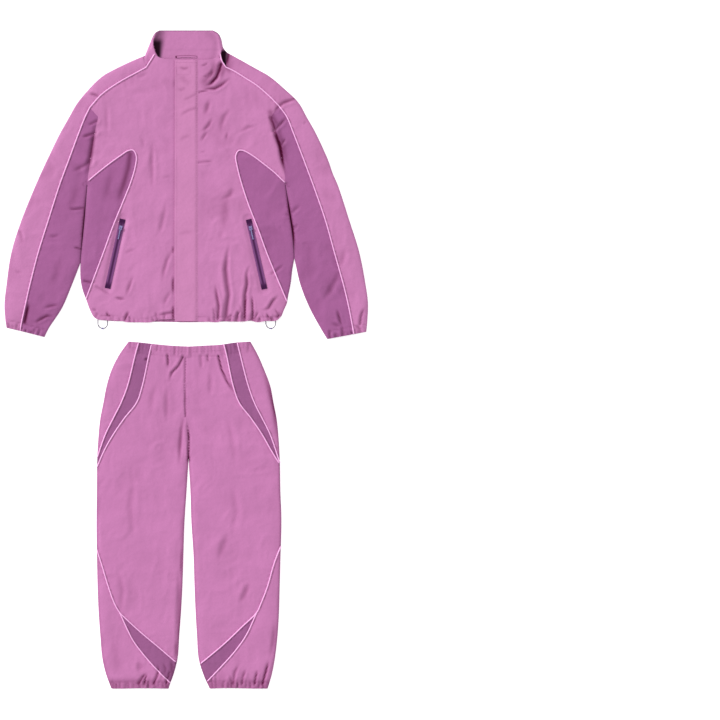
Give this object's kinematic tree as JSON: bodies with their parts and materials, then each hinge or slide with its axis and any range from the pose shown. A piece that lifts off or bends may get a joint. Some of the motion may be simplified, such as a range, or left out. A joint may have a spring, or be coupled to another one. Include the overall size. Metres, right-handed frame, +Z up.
{
  "type": "tracksuit laid flat",
  "caption": "Nylon tracksuit laid flat: stand-collar jacket with storm flap, piped side panels and zip pockets, above elastic-waist trousers with piped stripes.",
  "frame": {"origin": "Middle of the laid-out suit in plan, on the surface it lies on", "axes": "+Y points from the ankles to the collar, +X to the right of someone looking down on the front, +Z up off the surface"},
  "size_m": [1.054, 1.906, 0.0109],
  "materials": {
    "cloth_light": "smooth crisp nylon, faint sheen",
    "cloth_dark": "smooth crisp nylon, faint sheen",
    "piping": "fine woven piping, slightly glossy",
    "zip_tape": "woven zip tape with moulded teeth",
    "zip_metal": "satin enamel",
    "loop_cord": "covered elastic cord"
  },
  "bodies": {
    "suit": {"jacket_front_left": "cloth_light", "jacket_front_right": "cloth_light", "jacket_storm_flap": "cloth_light", "jacket_yoke_and_upper_sleeves": "cloth_light", "jacket_back_main": "cloth_light", "jacket_collar": "cloth_light", "jacket_hanger_loop": "cloth_light", "jacket_back_band": "cloth_dark", "jacket_side_panel_left": "cloth_dark", "jacket_side_panel_right": "cloth_dark", "jacket_under_sleeve_left": "cloth_dark", "jacket_under_sleeve_right": "cloth_dark", "jacket_front_zip": "zip_tape", "jacket_piping_sleeve_left": "piping", "jacket_piping_sleeve_right": "piping", "jacket_piping_side_front_left": "piping", "jacket_piping_side_front_right": "piping", "jacket_piping_sleeve_back_left": "piping", "jacket_piping_sleeve_back_right": "piping", "jacket_piping_band_top": "piping", "jacket_piping_band_low": "piping", "jacket_piping_side_back_left": "piping", "jacket_piping_side_back_right": "piping", "pocket_zip_tape_left": "zip_tape", "pocket_zip_tape_right": "zip_tape", "pocket_zip_slider_left": "zip_metal", "pocket_zip_slider_right": "zip_metal", "hem_loop_left": "loop_cord", "hem_loop_right": "loop_cord", "hem_loop_crimp_left": "zip_metal", "hem_loop_crimp_right": "zip_metal", "trousers_front_left": "cloth_light", "trousers_front_right": "cloth_light", "trousers_hip_left": "cloth_light", "trousers_hip_right": "cloth_light", "trousers_lower_left": "cloth_light", "trousers_lower_right": "cloth_light", "trousers_back_left": "cloth_light", "trousers_back_right": "cloth_light", "trousers_stripe_left": "cloth_dark", "trousers_stripe_right": "cloth_dark", "trousers_wedge_left": "cloth_dark", "trousers_wedge_right": "cloth_dark", "trousers_piping_out_left": "piping", "trousers_piping_out_right": "piping", "trousers_piping_in_left": "piping", "trousers_piping_in_right": "piping", "trousers_piping_calf_left": "piping", "trousers_piping_calf_right": "piping", "trousers_piping_shin_left": "piping", "trousers_piping_shin_right": "piping"},
    "pull_tab_left": {"pocket_zip_pull_tab_left": "zip_metal"},
    "pull_tab_right": {"pocket_zip_pull_tab_right": "zip_metal"}
  },
  "joints": [
    {"name": "pull_tab_left_hinge", "type": "hinge", "parent": "suit", "child": "pull_tab_left", "pos_m": [-0.18999, 0.38065, 0.0093], "axis": [-0.9769, 0.2138, 0], "range_deg": [0, 150]},
    {"name": "pull_tab_right_hinge", "type": "hinge", "parent": "suit", "child": "pull_tab_right", "pos_m": [0.18722, 0.3797, 0.00944], "axis": [-0.975, -0.222, 0], "range_deg": [0, 150]}
  ]
}
